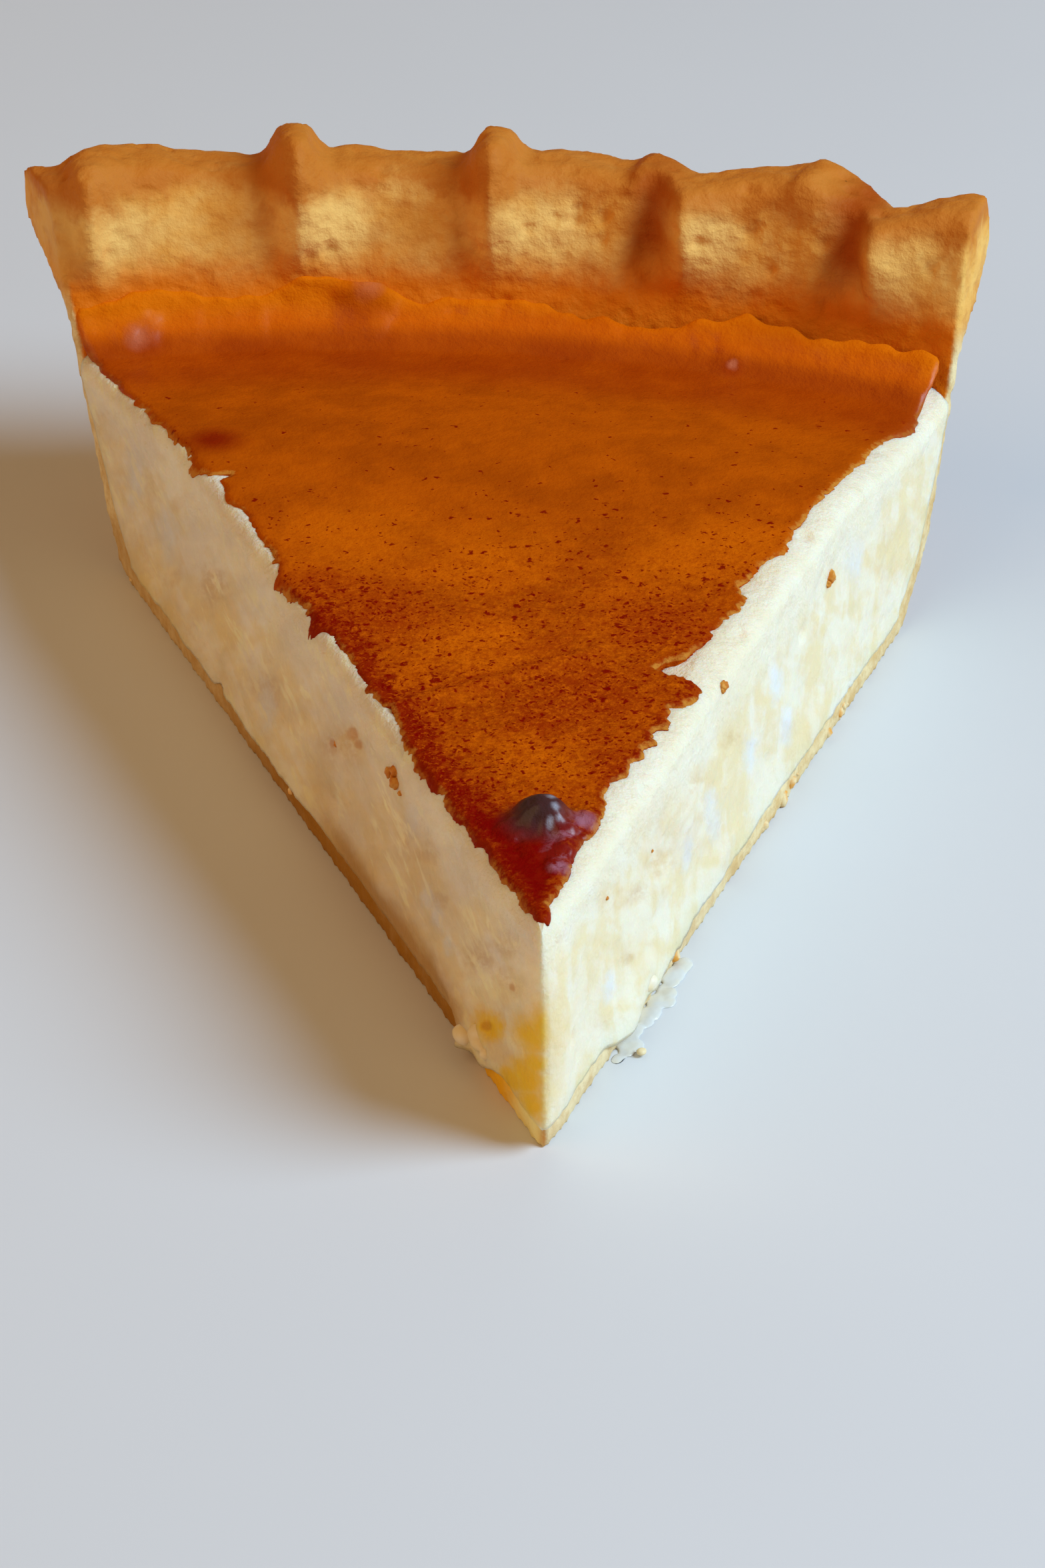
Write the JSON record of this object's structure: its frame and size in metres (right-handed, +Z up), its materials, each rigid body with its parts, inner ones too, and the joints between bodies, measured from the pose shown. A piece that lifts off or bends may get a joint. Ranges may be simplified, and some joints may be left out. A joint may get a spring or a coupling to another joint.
{
  "type": "cottage cheese pie slice",
  "caption": "Wedge of baked cottage cheese pie: set creamy filling with a browned top in a fluted pastry shell, standing flat on its base.",
  "frame": {"origin": "on the surface the slice stands on, under the middle of its outline", "axes": "+Z up, the tip points to -Y and the fluted edge lies towards +Y, +X to the right seen from the tip"},
  "size_m": [0.0838, 0.1106, 0.0342],
  "materials": {
    "pastry": "matte",
    "cottage_cheese": "satin",
    "browned_top": "satin"
  },
  "bodies": {
    "root": {"crust": "pastry", "filling": "cottage_cheese"}
  },
  "joints": []
}
